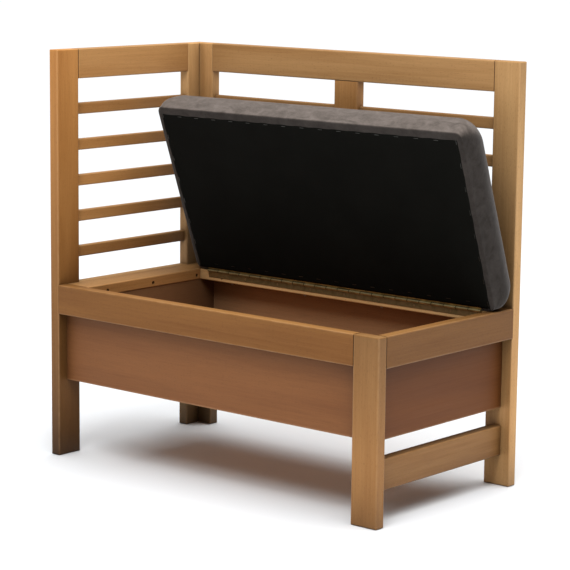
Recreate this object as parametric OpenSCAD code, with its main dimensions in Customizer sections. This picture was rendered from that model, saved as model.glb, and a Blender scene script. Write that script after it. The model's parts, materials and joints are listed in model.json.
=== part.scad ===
// Corner storage bench: a slatted side panel, a slatted back, a box under the seat
// and a padded lid on a piano hinge. Millimetres, +Z up, the bench faces -Y.
// The origin is the middle of the footprint on the floor.

/* [Overall] */

// Length of the bench over its back frame
bench_l = 920; // [910:10:1200]
// Depth from the front rail to the back of the back frame
bench_d = 480; // [470:5:540]
// Height of the back and of the side panel
bench_h = 900; // [840:10:1000]
// Height of the top of the seat frame
seat_h = 385; // [360:5:420]

/* [Boards] */

// Thickness of the posts, rails and leg
board_t = 25; // [24:1:28]
// Width of the posts, rails and leg
board_w = 65; // [60:1:70]
// Rounding of the long edges of each board
edge_r = 3; // [1:0.5:4]
// Width of the side panel's rear post, which stands against the back frame
corner_post_w = 40; // [34:1:45]

/* [Slats] */

// Slats in each field
slat_count = 5; // [5:1:5]
// Height of a slat
slat_h = 25; // [18:1:30]
// Thickness of a slat
slat_t = 13; // [9:1:14]
// Distance of the slats behind the boards' inner faces
slat_recess = 9; // [5:1:10]
// Length of a slat's tenon
tenon_l = 10; // [6:1:14]

/* [Box] */

// Thickness of the box panels
panel_t = 16; // [14:1:18]
// Height of the box's lower edge above the floor
box_z = 170; // [140:5:200]
// Thickness of the box's bottom
bottom_t = 8; // [5:1:8]
// Height of the bottom's underside above the panels' lower edge
bottom_rise = 10; // [8:1:16]
// Distance of the left panel behind the edge of the left rail
left_reveal = 2; // [1:1:6]

/* [Stretcher] */

// Height of the stretcher's lower edge above the floor
stretcher_z = 66; // [40:2:74]
// Distance of the stretcher behind the leg's outer face
stretcher_inset = 23; // [10:1:30]

/* [Lid] */

// Angle of the lid from closed
lid_angle = 70; // [0:1:70]
// Thickness of the lid's board
lid_board_t = 16; // [12:1:18]
// Height of the foam
foam_h = 58; // [45:1:58]
// Thickness of the cover's fabric
cover_t = 1.5; // [1:0.25:2]
// Thickness of the dust cover
dust_t = 0.5; // [0.4:0.1:0.8]
// Overhang of the lid in front of the seat frame
lid_overhang = 20; // [5:1:30]
// Overlap of the lid on the left rail
lid_lap = 4; // [2:1:20]
// Distance of the lid's right side behind the bench's right side
lid_right_gap = 2; // [1:1:10]
// Rounding of the cushion's upper edges
cushion_r = 28; // [15:1:28]
// Rounding of the cushion's corners in plan
corner_r = 16; // [8:1:24]
// Rounding of the cushion's lower edges
under_r = 5; // [3:0.5:5]
// Width of fabric turned in under the board
wrap_w = 30; // [24:1:40]
// Distance of the dust cover behind the lid's front edge
dust_inset = 17; // [10:1:20]
// Distance of the dust cover behind the lid's sides
dust_side = 8; // [6:1:16]
// Gap between the closed lid's underside and the seat frame
lid_gap = 0.6; // [0.5:0.1:1.5]

/* [Hinge] */

// Length of one knuckle
knuckle_l = 32; // [24:1:32]
// Number of knuckles
knuckle_count = 24; // [16:2:24]
// Outer radius of the barrel
barrel_r = 3; // [2.6:0.1:3]
// Radius of the pin
pin_r = 1.5; // [1.2:0.1:1.6]
// Radial clearance between the pin and the knuckles
pin_gap = 0.05; // [0.02:0.01:0.1]
// Thickness of a leaf
leaf_t = 1.2; // [0.8:0.1:1.5]
// Width of a leaf from the hinge axis
leaf_w = 15; // [13:1:16]
// Gap between neighbouring knuckles
knuckle_gap = 0.4; // [0.3:0.1:0.8]
// Knuckles from one leaf screw to the next
screw_pitch = 3; // [2:1:4]

/* [Fastenings] */

// Radius of the frame dowels
dowel_r = 4; // [3:0.5:4]
// Length of the frame dowels
dowel_l = 30; // [24:1:30]
// Radius of the box dowels
box_dowel_r = 3; // [2.5:0.5:3]
// Length of the box dowels
box_dowel_l = 24; // [20:1:24]
// Gap around every dowel, tenon and screw in its hole
fit_gap = 0.05; // [0.03:0.01:0.1]
// Distance between staples along the lid's edge
staple_pitch = 50; // [30:5:80]

/* [Hidden] */

round_fn = 48;

// Seat frame and side panel
rail_z = seat_h - board_w;
flat_z = seat_h - board_t;
top_z = bench_h - board_w;
back_y = bench_d - board_t;
corner_y = back_y - corner_post_w;
right_x = bench_l - board_w;
side_x = bench_l - board_t;
inner_x = board_t + board_w;
inner_y = back_y - board_w;
stile_x = bench_l / 2 - board_w / 2;
stretcher_x = bench_l - stretcher_inset - board_t;

// Slats
slat_gap = (top_z - seat_h - slat_count * slat_h) / (slat_count + 1);
tenon_h = slat_h - 8;
tenon_t = slat_t - 4;
left_slat_x = board_t - slat_recess - slat_t;
back_slat_y = back_y + slat_recess;

// Box
box_x0 = inner_x - left_reveal - panel_t;
box_x1 = side_x - panel_t;
box_y0 = board_t + panel_t;
box_y1 = back_y - panel_t;
groove = panel_t / 2;
bottom_z = box_z + bottom_rise;

// Hinge axis and the lid in its own coordinates: u runs from the axis to the free edge
// and w up from the axis, with the lid closed
axis_off = barrel_r + 0.3;
axis_y = inner_y - axis_off;
axis_z = seat_h + lid_gap - (axis_off - cover_t - dust_t);
hinge_l = knuckle_l * knuckle_count;
knuckle_room = barrel_r + 0.5;
lid_u0 = 1.5;
lid_u1 = axis_y + lid_overhang;
lid_x0 = inner_x - lid_lap;
lid_x1 = bench_l - lid_right_gap;
hinge_x = (lid_x0 + lid_x1 - hinge_l) / 2;
lid_w0 = axis_off - cover_t;
lid_w1 = axis_off + lid_board_t + foam_h + cover_t;
dust_u0 = 7;

// Fastenings
dowel_off = 10;
corner_dowel_count = 4;
rail_screw_r = 2.25;
rail_screw_head_r = 3.6;
rail_screw_head_t = 3;
counterbore_r = 4;
counterbore_l = 40;
rail_screw_l = 42;
rail_screw_up = 10;
side_screw_front = 23;
side_screw_rear = 12;
rear_screw_left = 66;
rear_screw_right = 8;
rail_screw_z = flat_z + rail_screw_up;
side_screw_y0 = board_w + side_screw_front;
side_screw_y1 = inner_y - side_screw_rear;
side_screw_y = [side_screw_y0, (side_screw_y0 + side_screw_y1) / 2, side_screw_y1];
rear_screw_x = [inner_x + rear_screw_left, right_x - rear_screw_right];
panel_screw_r = 2;
panel_screw_l = 28;
panel_screw_head_r = 4;
panel_screw_head_t = 2;
panel_screw_down = 9;
panel_screw_in = 75;
panel_screw_z = flat_z - panel_screw_down;
front_screw_step = (box_x1 - board_t - 2 * panel_screw_in) / 3;
rear_screw_step = (box_x1 - box_x0 - 2 * panel_screw_in) / 3;
right_screw_step = (box_y1 - box_y0 - 2 * panel_screw_in) / 2;
leaf_screw_r = 1.4;
leaf_screw_l = 13;
leaf_screw_head_r = 2.8;
leaf_screw_head_t = 0.7;
staple_crown = 11;
staple_wire = 1.2;
staple_t = 0.4;
staple_leg = 7;
staple_set = 3.5;

beech = [0.69, 0.5, 0.34];
ply = [0.66, 0.46, 0.3];
brass_tone = [0.6, 0.52, 0.3];
steel_tone = [0.6, 0.6, 0.6];
fabric_tone = [0.42, 0.38, 0.36];
black_tone = [0.06, 0.06, 0.06];
foam_tone = [0.9, 0.86, 0.7];

// Helpers ---------------------------------------------------------------

// Moves a piece drawn from the floor under the left front corner to the shared origin
module from_corner() {
  translate([-bench_l / 2, -bench_d / 2, 0]) children();
}

// Turns a lid piece drawn closed to the lid's angle
module on_lid() {
  from_corner()
    translate([0, axis_y, axis_z]) rotate([-lid_angle, 0, 0]) children();
}

// A rectangle with round corners, from its lower left corner
module rounded_rect(w, h, r) {
  translate([r, 0]) square([w - 2 * r, h]);
  translate([0, r]) square([w, h - 2 * r]);
  for (x = [r, w - r])
    for (y = [r, h - r])
      translate([x, y]) circle(r = r, $fn = round_fn);
}

// Boards along X, Y and Z with eased long edges, from their lowest corner
module board_x(l, d, h, r = edge_r) {
  rotate([90, 0, 90]) linear_extrude(height = l) rounded_rect(d, h, r);
}

module board_y(w, l, h, r = edge_r) {
  translate([0, l, 0]) rotate([90, 0, 0]) linear_extrude(height = l) rounded_rect(w, h, r);
}

module board_z(w, d, h, r = edge_r) {
  linear_extrude(height = h) rounded_rect(w, d, r);
}

// An upright with its ends eased as well
module post(w, d, h) {
  intersection() {
    board_z(w, d, h);
    board_x(w, d, h);
    board_y(w, d, h);
  }
}

// A rod along X, Y or Z, centred on the given point
module rod(at, along, r, l) {
  turn = along == "x" ? [0, 90, 0] : along == "y" ? [90, 0, 0] : [0, 0, 0];
  translate(at) rotate(turn) cylinder(r = r, h = l, center = true, $fn = round_fn);
}

// Lower edge of slat i, counted from the top
function slat_z(i) = top_z - i * (slat_gap + slat_h);

// Dowels ----------------------------------------------------------------

// Each dowel is [place of its middle, direction]
upright_pairs = [rail_z + board_w / 2, top_z + board_w / 2];
side_panel_dowels = [
  for (y = [board_w, corner_y]) for (z = upright_pairs) for (s = [-1, 1])
    [[board_t / 2, y, z + s * dowel_off], "y"]
];
back_frame_dowels = [
  for (x = [board_w, right_x]) for (z = upright_pairs) for (s = [-1, 1])
    [[x, back_y + board_t / 2, z + s * dowel_off], "x"]
];
stile_dowels = [
  for (z = [seat_h, top_z]) for (s = [-1, 1])
    [[bench_l / 2 + s * dowel_off, back_y + board_t / 2, z], "z"]
];
corner_dowels = [
  for (i = [1:corner_dowel_count]) [[board_t / 2, back_y, i * bench_h / (corner_dowel_count + 1)], "y"]
];
front_rail_dowels = [
  for (x = [board_t, right_x]) for (s = [-1, 1])
    [[x, board_t / 2, rail_z + board_w / 2 + s * dowel_off], "x"]
];
right_rail_dowels = [
  for (y = [board_t, back_y]) for (s = [-1, 1])
    [[side_x + board_t / 2, y, rail_z + board_w / 2 + s * dowel_off], "y"]
];
left_rail_dowels = [
  for (x = [board_t + 3 * dowel_off, inner_x - dowel_off]) [[x, board_t, flat_z + board_t / 2], "y"]
];
rear_rail_dowels = [
  for (x = [inner_x, side_x]) for (y = [inner_y + 1.5 * dowel_off, inner_y + 4 * dowel_off])
    [[x, y, flat_z + board_t / 2], "x"]
];
stretcher_dowels = [
  for (y = [board_t, back_y]) for (s = [-1, 1])
    [[stretcher_x + board_t / 2, y, stretcher_z + board_w / 2 + s * dowel_off], "y"]
];
box_corner_dowels = [
  for (z = [for (i = [1:3]) box_z + i * (flat_z - box_z) / 4])
    for (d = [
      [[box_x1, board_t + panel_t / 2, z], "x"],
      [[box_x1, back_y - panel_t / 2, z], "x"],
      [[box_x0 + panel_t / 2, box_y0, z], "y"],
      [[box_x0 + panel_t / 2, box_y1, z], "y"]
    ]) d
];
box_hanging_dowels = [
  for (i = [1:2]) [[box_x0 + panel_t / 2, box_y0 + i * (box_y1 - box_y0) / 3, flat_z], "z"]
];

module dowels(list, r, l) {
  for (d = list) rod(d[0], d[1], r, l);
}

module dowel_holes(list) {
  dowels(list, dowel_r + fit_gap, dowel_l + 1);
}

module box_dowel_holes(list) {
  dowels(list, box_dowel_r + fit_gap, box_dowel_l + 0.5);
}

module frame_dowels() {
  color(beech) from_corner()
    dowels(concat(side_panel_dowels, back_frame_dowels, stile_dowels, corner_dowels,
                  front_rail_dowels, right_rail_dowels, left_rail_dowels, rear_rail_dowels,
                  stretcher_dowels), dowel_r, dowel_l);
}

module box_dowels() {
  color(beech) from_corner()
    dowels(concat(box_corner_dowels, box_hanging_dowels), box_dowel_r, box_dowel_l);
}

// Screws ----------------------------------------------------------------

// A screw along +Z with its head's seat at z = 0
module screw(r, l, head_r, head_t) {
  translate([0, 0, -head_t]) cylinder(r = head_r, h = head_t, $fn = round_fn);
  cylinder(r = r, h = l, $fn = round_fn);
}

// Seats of the long screws that hold the flat rails to the panels behind them
module at_side_screws() {
  for (y = side_screw_y)
    translate([inner_x - counterbore_l, y, rail_screw_z]) rotate([0, -90, 0]) children();
}

module at_rear_screws() {
  for (x = rear_screw_x)
    translate([x, inner_y + counterbore_l, rail_screw_z]) rotate([-90, 0, 0]) children();
}

module rail_screw() {
  screw(rail_screw_r, rail_screw_l, rail_screw_head_r, rail_screw_head_t);
}

module rail_screw_hole() {
  cylinder(r = rail_screw_r + fit_gap, h = rail_screw_l + 1, $fn = round_fn);
  translate([0, 0, -counterbore_l - 1]) cylinder(r = counterbore_r, h = counterbore_l + 1, $fn = round_fn);
}

module rail_screws() {
  color(steel_tone) from_corner() {
    at_side_screws() rail_screw();
    at_rear_screws() rail_screw();
  }
}

// Seats of the short screws that hang the box panels on the frame
module at_front_panel_screws() {
  for (i = [0:3])
    translate([board_t + panel_screw_in + i * front_screw_step, box_y0, panel_screw_z])
      rotate([90, 0, 0]) children();
}

module at_rear_panel_screws() {
  for (i = [0:3])
    translate([box_x0 + panel_screw_in + i * rear_screw_step, box_y1, panel_screw_z])
      rotate([-90, 0, 0]) children();
}

module at_right_panel_screws() {
  for (i = [0:2])
    translate([box_x1, box_y0 + panel_screw_in + i * right_screw_step, panel_screw_z])
      rotate([0, 90, 0]) children();
}

module panel_screw() {
  screw(panel_screw_r, panel_screw_l, panel_screw_head_r, panel_screw_head_t);
}

module panel_screw_hole() {
  translate([0, 0, -1]) cylinder(r = panel_screw_r + fit_gap, h = panel_screw_l + 2, $fn = round_fn);
}

module box_screws() {
  color(steel_tone) from_corner() {
    at_front_panel_screws() panel_screw();
    at_rear_panel_screws() panel_screw();
    at_right_panel_screws() panel_screw();
  }
}

// Side panel ------------------------------------------------------------

// Mortises for the five tenons of one field, on a face at the given place
module mortises(at, along) {
  h = tenon_h + 2 * fit_gap;
  t = tenon_t + 2 * fit_gap;
  l = 2 * tenon_l + 2;
  for (i = [1:slat_count])
    translate([at[0], at[1], slat_z(i) + slat_h / 2])
      cube(along == "y" ? [t, l, h] : [l, t, h], center = true);
}

module left_panel_front_post() {
  color(beech) from_corner() difference() {
    post(board_t, board_w, bench_h);
    mortises([left_slat_x + slat_t / 2, board_w], "y");
    dowel_holes(side_panel_dowels);
    dowel_holes(front_rail_dowels);
  }
}

module left_panel_rear_post() {
  color(beech) from_corner() difference() {
    translate([0, corner_y, 0]) post(board_t, corner_post_w, bench_h);
    mortises([left_slat_x + slat_t / 2, corner_y], "y");
    dowel_holes(side_panel_dowels);
    dowel_holes(corner_dowels);
  }
}

module left_panel_rail(z) {
  translate([0, board_w, z]) board_y(board_t, corner_y - board_w, board_w);
}

module left_panel_top_rail() {
  color(beech) from_corner() difference() {
    left_panel_rail(top_z);
    dowel_holes(side_panel_dowels);
  }
}

module left_panel_seat_rail() {
  color(beech) from_corner() difference() {
    left_panel_rail(rail_z);
    dowel_holes(side_panel_dowels);
    at_side_screws() rail_screw_hole();
  }
}

module left_slat(i) {
  l = corner_y - board_w;
  color(beech) from_corner() translate([left_slat_x, board_w, slat_z(i)]) {
    board_y(slat_t, l, slat_h);
    translate([(slat_t - tenon_t) / 2, -tenon_l, (slat_h - tenon_h) / 2])
      cube([tenon_t, l + 2 * tenon_l, tenon_h]);
  }
}

// Back frame ------------------------------------------------------------

module back_post(x) {
  translate([x, back_y, 0]) post(board_w, board_t, bench_h);
}

module back_left_post() {
  color(beech) from_corner() difference() {
    back_post(0);
    mortises([board_w, back_slat_y + slat_t / 2], "x");
    dowel_holes(back_frame_dowels);
    dowel_holes(corner_dowels);
  }
}

module back_right_post() {
  color(beech) from_corner() difference() {
    back_post(right_x);
    mortises([right_x, back_slat_y + slat_t / 2], "x");
    dowel_holes(back_frame_dowels);
    dowel_holes(right_rail_dowels);
    dowel_holes(stretcher_dowels);
  }
}

module back_rail(z) {
  translate([board_w, back_y, z]) board_x(right_x - board_w, board_t, board_w);
}

module back_top_rail() {
  color(beech) from_corner() difference() {
    back_rail(top_z);
    dowel_holes(back_frame_dowels);
    dowel_holes(stile_dowels);
  }
}

module back_seat_rail() {
  color(beech) from_corner() difference() {
    back_rail(rail_z);
    dowel_holes(back_frame_dowels);
    dowel_holes(stile_dowels);
    at_rear_screws() rail_screw_hole();
    at_rear_panel_screws() panel_screw_hole();
  }
}

module back_centre_stile() {
  color(beech) from_corner() difference() {
    translate([stile_x, back_y, seat_h]) board_z(board_w, board_t, top_z - seat_h);
    mortises([stile_x, back_slat_y + slat_t / 2], "x");
    mortises([stile_x + board_w, back_slat_y + slat_t / 2], "x");
    dowel_holes(stile_dowels);
  }
}

// A slat of the back from x0 to x1
module back_slat(i, x0, x1) {
  color(beech) from_corner() translate([x0, back_slat_y, slat_z(i)]) {
    board_x(x1 - x0, slat_t, slat_h);
    translate([-tenon_l, (slat_t - tenon_t) / 2, (slat_h - tenon_h) / 2])
      cube([x1 - x0 + 2 * tenon_l, tenon_t, tenon_h]);
  }
}

module back_left_slat(i) {
  back_slat(i, board_w, stile_x);
}

module back_right_slat(i) {
  back_slat(i, stile_x + board_w, right_x);
}

// Seat frame ------------------------------------------------------------

module front_right_leg() {
  color(beech) from_corner() difference() {
    translate([right_x, 0, 0]) post(board_w, board_t, seat_h);
    dowel_holes(front_rail_dowels);
    dowel_holes(right_rail_dowels);
    dowel_holes(stretcher_dowels);
  }
}

module seat_front_rail() {
  color(beech) from_corner() difference() {
    translate([board_t, 0, rail_z]) board_x(right_x - board_t, board_t, board_w);
    dowel_holes(front_rail_dowels);
    dowel_holes(left_rail_dowels);
    at_front_panel_screws() panel_screw_hole();
  }
}

module seat_right_rail() {
  color(beech) from_corner() difference() {
    translate([side_x, board_t, rail_z]) board_y(board_t, back_y - board_t, board_w);
    dowel_holes(right_rail_dowels);
    dowel_holes(rear_rail_dowels);
    at_right_panel_screws() panel_screw_hole();
  }
}

module seat_left_rail() {
  color(beech) from_corner() difference() {
    translate([board_t, board_t, flat_z]) board_y(board_w, back_y - board_t, board_t);
    dowel_holes(left_rail_dowels);
    dowel_holes(rear_rail_dowels);
    at_side_screws() rail_screw_hole();
    box_dowel_holes(box_hanging_dowels);
  }
}

module seat_rear_rail() {
  color(beech) from_corner() difference() {
    translate([inner_x, inner_y, flat_z]) board_x(side_x - inner_x, board_w, board_t);
    dowel_holes(rear_rail_dowels);
    at_rear_screws() rail_screw_hole();
    at_frame_leaf_screws() leaf_screw_hole();
  }
}

module right_stretcher() {
  color(beech) from_corner() difference() {
    translate([stretcher_x, board_t, stretcher_z]) board_y(board_t, back_y - board_t, board_w);
    dowel_holes(stretcher_dowels);
  }
}

// Box -------------------------------------------------------------------

// The bottom with a given gap all round, also used to cut its groove
module bottom_slab(gap) {
  l = box_x1 - box_x0 - panel_t + 2 * (groove + gap);
  w = box_y1 - box_y0 + 2 * (groove + gap);
  translate([box_x0 + panel_t - groove - gap, box_y0 - groove - gap, bottom_z - gap])
    cube([l, w, bottom_t + 2 * gap]);
}

module box_front_panel() {
  color(ply) from_corner() difference() {
    translate([board_t, board_t, box_z]) cube([box_x1 - board_t, panel_t, flat_z - box_z]);
    bottom_slab(2 * fit_gap);
    box_dowel_holes(box_corner_dowels);
    at_front_panel_screws() panel_screw_hole();
  }
}

module box_right_panel() {
  color(ply) from_corner() difference() {
    translate([box_x1, board_t, box_z]) cube([panel_t, back_y - board_t, flat_z - box_z]);
    bottom_slab(2 * fit_gap);
    box_dowel_holes(box_corner_dowels);
    at_right_panel_screws() panel_screw_hole();
  }
}

module box_left_panel() {
  color(ply) from_corner() difference() {
    translate([box_x0, box_y0, box_z]) cube([panel_t, box_y1 - box_y0, flat_z - box_z]);
    bottom_slab(2 * fit_gap);
    box_dowel_holes(box_corner_dowels);
    box_dowel_holes(box_hanging_dowels);
  }
}

module box_rear_panel() {
  color(ply) from_corner() difference() {
    translate([box_x0, box_y1, box_z]) cube([box_x1 - box_x0, panel_t, flat_z - box_z]);
    bottom_slab(2 * fit_gap);
    box_dowel_holes(box_corner_dowels);
    at_rear_panel_screws() panel_screw_hole();
  }
}

module box_bottom_panel() {
  color(ply) from_corner() bottom_slab(0);
}

// Hinge -----------------------------------------------------------------

// Seats of the leaf screws along the hinge, each at the middle of a knuckle
module along_leaf() {
  n = floor(knuckle_count / screw_pitch) - 1;
  for (i = [1:n])
    translate([hinge_x + (i * screw_pitch + 0.5) * knuckle_l, 0, 0]) children();
}

module at_frame_leaf_screws() {
  along_leaf() translate([0, inner_y - leaf_t + leaf_screw_head_t, axis_z - (leaf_w + knuckle_room) / 2])
    rotate([-90, 0, 0]) children();
}

// In the lid's own coordinates
module at_lid_leaf_screws() {
  along_leaf() translate([0, -(leaf_w + knuckle_room) / 2, axis_off - leaf_t + leaf_screw_head_t]) children();
}

module leaf_screw() {
  screw(leaf_screw_r, leaf_screw_l, leaf_screw_head_r, leaf_screw_head_t);
}

// The head sits flush in the leaf
module leaf_screw_hole() {
  cylinder(r = leaf_screw_r + fit_gap, h = leaf_screw_l + 1, $fn = round_fn);
  translate([0, 0, -leaf_t]) cylinder(r = leaf_screw_head_r + fit_gap, h = leaf_t, $fn = round_fn);
}

// One leaf, hanging from the axis against a face at y = axis_off; side 0 or 1 picks its knuckles
module leaf(side) {
  difference() {
    union() {
      translate([hinge_x, axis_off - leaf_t, -leaf_w]) cube([hinge_l, leaf_t, leaf_w - knuckle_room]);
      for (i = [side:2:knuckle_count - 1])
        translate([hinge_x + i * knuckle_l + knuckle_gap / 2, 0, 0]) {
          rotate([0, 90, 0]) cylinder(r = barrel_r, h = knuckle_l - knuckle_gap, $fn = round_fn);
          translate([0, axis_off - leaf_t, -knuckle_room - 0.5])
            cube([knuckle_l - knuckle_gap, leaf_t, knuckle_room + 0.5]);
        }
    }
    translate([hinge_x - 1, 0, 0]) rotate([0, 90, 0])
      cylinder(r = pin_r + pin_gap, h = hinge_l + 2, $fn = round_fn);
  }
}

module hinge_frame_leaf() {
  color(brass_tone) from_corner() difference() {
    translate([0, axis_y, axis_z]) leaf(0);
    at_frame_leaf_screws() leaf_screw_hole();
  }
}

module hinge_lid_leaf() {
  color(brass_tone) on_lid() difference() {
    rotate([-90, 0, 0]) mirror([0, 1, 0]) leaf(1);
    at_lid_leaf_screws() leaf_screw_hole();
  }
}

module hinge_pin() {
  color(brass_tone) from_corner() translate([hinge_x, axis_y, axis_z]) rotate([0, 90, 0])
    cylinder(r = pin_r, h = hinge_l, $fn = round_fn);
}

module hinge_frame_screws() {
  color(brass_tone) from_corner() at_frame_leaf_screws() leaf_screw();
}

module hinge_lid_screws() {
  color(brass_tone) on_lid() at_lid_leaf_screws() leaf_screw();
}

// Lid, in its own coordinates -------------------------------------------

// A side of the cushion's outline: a slab w by h whose lower corners are eased and upper ones round
module cushion_side(w, h, low_r, high_r) {
  translate([low_r, 0]) square([w - 2 * low_r, h / 2]);
  translate([0, low_r]) square([w, h - low_r - high_r]);
  translate([high_r, h / 2]) square([w - 2 * high_r, h / 2]);
  for (x = [low_r, w - low_r]) translate([x, low_r]) circle(r = low_r, $fn = round_fn);
  for (x = [high_r, w - high_r]) translate([x, h - high_r]) circle(r = high_r, $fn = round_fn);
}

// The cushion's outer form, smaller by inset on every side
module lid_form(inset) {
  l = lid_x1 - lid_x0 - 2 * inset;
  d = lid_u1 - lid_u0 - 2 * inset;
  h = lid_w1 - lid_w0 - 2 * inset;
  translate([lid_x0 + inset, -lid_u1 + inset, lid_w0 + inset]) intersection() {
    translate([0, d, 0]) rotate([90, 0, 0]) linear_extrude(height = d)
      cushion_side(l, h, under_r - inset, cushion_r - inset);
    rotate([90, 0, 90]) linear_extrude(height = l)
      cushion_side(d, h, under_r - inset, cushion_r - inset);
    linear_extrude(height = h) rounded_rect(l, d, corner_r - inset);
  }
}

// Everything of the lid's footprint between two heights
module lid_layer(w0, w1) {
  translate([lid_x0 - 1, -lid_u1 - 1, w0]) cube([lid_x1 - lid_x0 + 2, lid_u1 - lid_u0 + 2, w1 - w0]);
}

module lid_board() {
  color(ply) on_lid() difference() {
    intersection() {
      lid_form(cover_t);
      lid_layer(axis_off - 1, axis_off + lid_board_t);
    }
    at_lid_leaf_screws() leaf_screw_hole();
  }
}

module lid_foam() {
  color(foam_tone) on_lid() intersection() {
    lid_form(cover_t);
    lid_layer(axis_off + lid_board_t, lid_w1 + 1);
  }
}

// Fabric over the foam and the board's edges, turned in under the board
module lid_cover() {
  color(fabric_tone) on_lid() difference() {
    lid_form(0);
    lid_form(cover_t);
    translate([lid_x0 + wrap_w, -lid_u1 + wrap_w, lid_w0 - 1])
      cube([lid_x1 - lid_x0 - 2 * wrap_w, lid_u1 - lid_u0 - 2 * wrap_w, cover_t + 2]);
    translate([hinge_x - 0.5, -leaf_w - 1, lid_w0 - 1])
      cube([hinge_l + 1, leaf_w + 2, cover_t + 1]);
  }
}

module lid_dust_cover() {
  color(black_tone) on_lid()
    translate([lid_x0 + dust_side, -lid_u1 + dust_inset, lid_w0 - dust_t])
      cube([lid_x1 - lid_x0 - 2 * dust_side, lid_u1 - dust_inset - dust_u0, dust_t]);
}

// A staple lying along X on the dust cover, legs up into the board
module staple() {
  translate([-staple_crown / 2, -staple_wire / 2, lid_w0 - dust_t - staple_t])
    cube([staple_crown, staple_wire, staple_t]);
  for (x = [-staple_crown / 2, staple_crown / 2 - staple_t])
    translate([x, -staple_wire / 2, lid_w0 - dust_t - staple_t]) cube([staple_t, staple_wire, staple_leg]);
}

module lid_staples() {
  x0 = lid_x0 + dust_side + staple_set;
  x1 = lid_x1 - dust_side - staple_set;
  u0 = leaf_w + staple_set;
  u1 = lid_u1 - dust_inset - staple_set;
  nx = floor((x1 - x0) / staple_pitch);
  nu = floor((u1 - u0) / staple_pitch);
  color(steel_tone) on_lid() {
    for (i = [1:nx - 1]) for (u = [u0, u1])
      translate([x0 + i * (x1 - x0) / nx, -u, 0]) staple();
    for (i = [0:nu]) for (x = [x0, x1])
      translate([x, -u0 - i * (u1 - u0) / nu, 0]) rotate([0, 0, 90]) staple();
  }
}

// Assembly --------------------------------------------------------------

left_panel_front_post();
left_panel_rear_post();
left_panel_top_rail();
left_panel_seat_rail();
left_slat(1);  // left_slat_1
left_slat(2);  // left_slat_2
left_slat(3);  // left_slat_3
left_slat(4);  // left_slat_4
left_slat(5);  // left_slat_5
back_left_post();
back_right_post();
back_top_rail();
back_seat_rail();
back_centre_stile();
back_left_slat(1);  // back_left_slat_1
back_left_slat(2);  // back_left_slat_2
back_left_slat(3);  // back_left_slat_3
back_left_slat(4);  // back_left_slat_4
back_left_slat(5);  // back_left_slat_5
back_right_slat(1);  // back_right_slat_1
back_right_slat(2);  // back_right_slat_2
back_right_slat(3);  // back_right_slat_3
back_right_slat(4);  // back_right_slat_4
back_right_slat(5);  // back_right_slat_5
front_right_leg();
seat_front_rail();
seat_right_rail();
seat_left_rail();
seat_rear_rail();
right_stretcher();
frame_dowels();
rail_screws();
box_front_panel();
box_right_panel();
box_left_panel();
box_rear_panel();
box_bottom_panel();
box_dowels();
box_screws();
hinge_frame_leaf();
hinge_lid_leaf();
hinge_pin();
hinge_frame_screws();
hinge_lid_screws();
lid_board();
lid_foam();
lid_cover();
lid_dust_cover();
lid_staples();
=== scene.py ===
"""Looks of the corner storage bench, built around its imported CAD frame."""
import json
import math

import bpy
import bmesh
import numpy as np
from mathutils import Matrix, Vector, noise


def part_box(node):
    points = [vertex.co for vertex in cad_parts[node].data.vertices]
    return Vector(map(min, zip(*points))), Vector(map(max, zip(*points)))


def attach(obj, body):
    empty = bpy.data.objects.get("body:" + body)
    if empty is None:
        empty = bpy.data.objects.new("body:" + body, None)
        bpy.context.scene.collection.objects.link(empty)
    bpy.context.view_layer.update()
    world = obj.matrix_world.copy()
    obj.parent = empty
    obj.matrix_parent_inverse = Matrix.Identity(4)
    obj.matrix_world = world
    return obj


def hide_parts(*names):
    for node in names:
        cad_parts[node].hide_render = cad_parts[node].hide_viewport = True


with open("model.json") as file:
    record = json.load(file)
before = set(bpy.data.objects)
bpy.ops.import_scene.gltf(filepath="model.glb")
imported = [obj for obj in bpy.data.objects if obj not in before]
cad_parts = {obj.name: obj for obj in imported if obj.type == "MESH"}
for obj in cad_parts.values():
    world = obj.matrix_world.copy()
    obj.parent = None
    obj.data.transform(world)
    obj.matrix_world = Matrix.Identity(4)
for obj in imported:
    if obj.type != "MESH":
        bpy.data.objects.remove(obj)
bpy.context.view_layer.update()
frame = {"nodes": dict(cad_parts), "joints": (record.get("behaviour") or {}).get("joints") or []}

MM = 0.001
X, Y, Z = 0, 1, 2

hinge = frame["joints"][0]
axis_point = Vector(hinge["pos_m"])
open_angle = math.radians(-hinge["range_deg"][0])

# ---------------------------------------------------------------- camera, lights, floor

CAMERA_PLACE = (3.0173, -3.5356, 1.1858)
CAMERA_AZIMUTH = 40.34
CAMERA_PITCH = -9.507
CAMERA_ROLL = -0.649
CAMERA_LENS = 138.3
CAMERA_SENSOR = 36
CAMERA_CLIP = (0.1, 200)

WORLD_LIGHT = 0.18
WORLD_COLOUR = (1.0, 0.99, 0.975, 1)
OVERHEAD_LIGHT = 3.25
OVERHEAD_SPREAD = 72
OVERHEAD_WAY = (-0.08, -0.15, -1)
KEY_PLACE = (0.92, -1.93, 3.03)
KEY_TARGET = (-0.05, 0, 0.4)
KEY_SIZE = 1.5
KEY_POWER = 60

FLOOR_HALF = 40
FLOOR_DROP = 0.4 * MM
FLOOR_COLOUR = (0.875, 0.9, 0.925, 1)


def place(name, data):
    """A new object in the scene."""
    obj = bpy.data.objects.new(name, data)
    bpy.context.scene.collection.objects.link(obj)
    return obj


def aim(obj, way):
    """Turns a light so that it shines along a direction."""
    obj.rotation_mode = "QUATERNION"
    obj.rotation_quaternion = Vector(way).to_track_quat("-Z", "Y")


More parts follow.
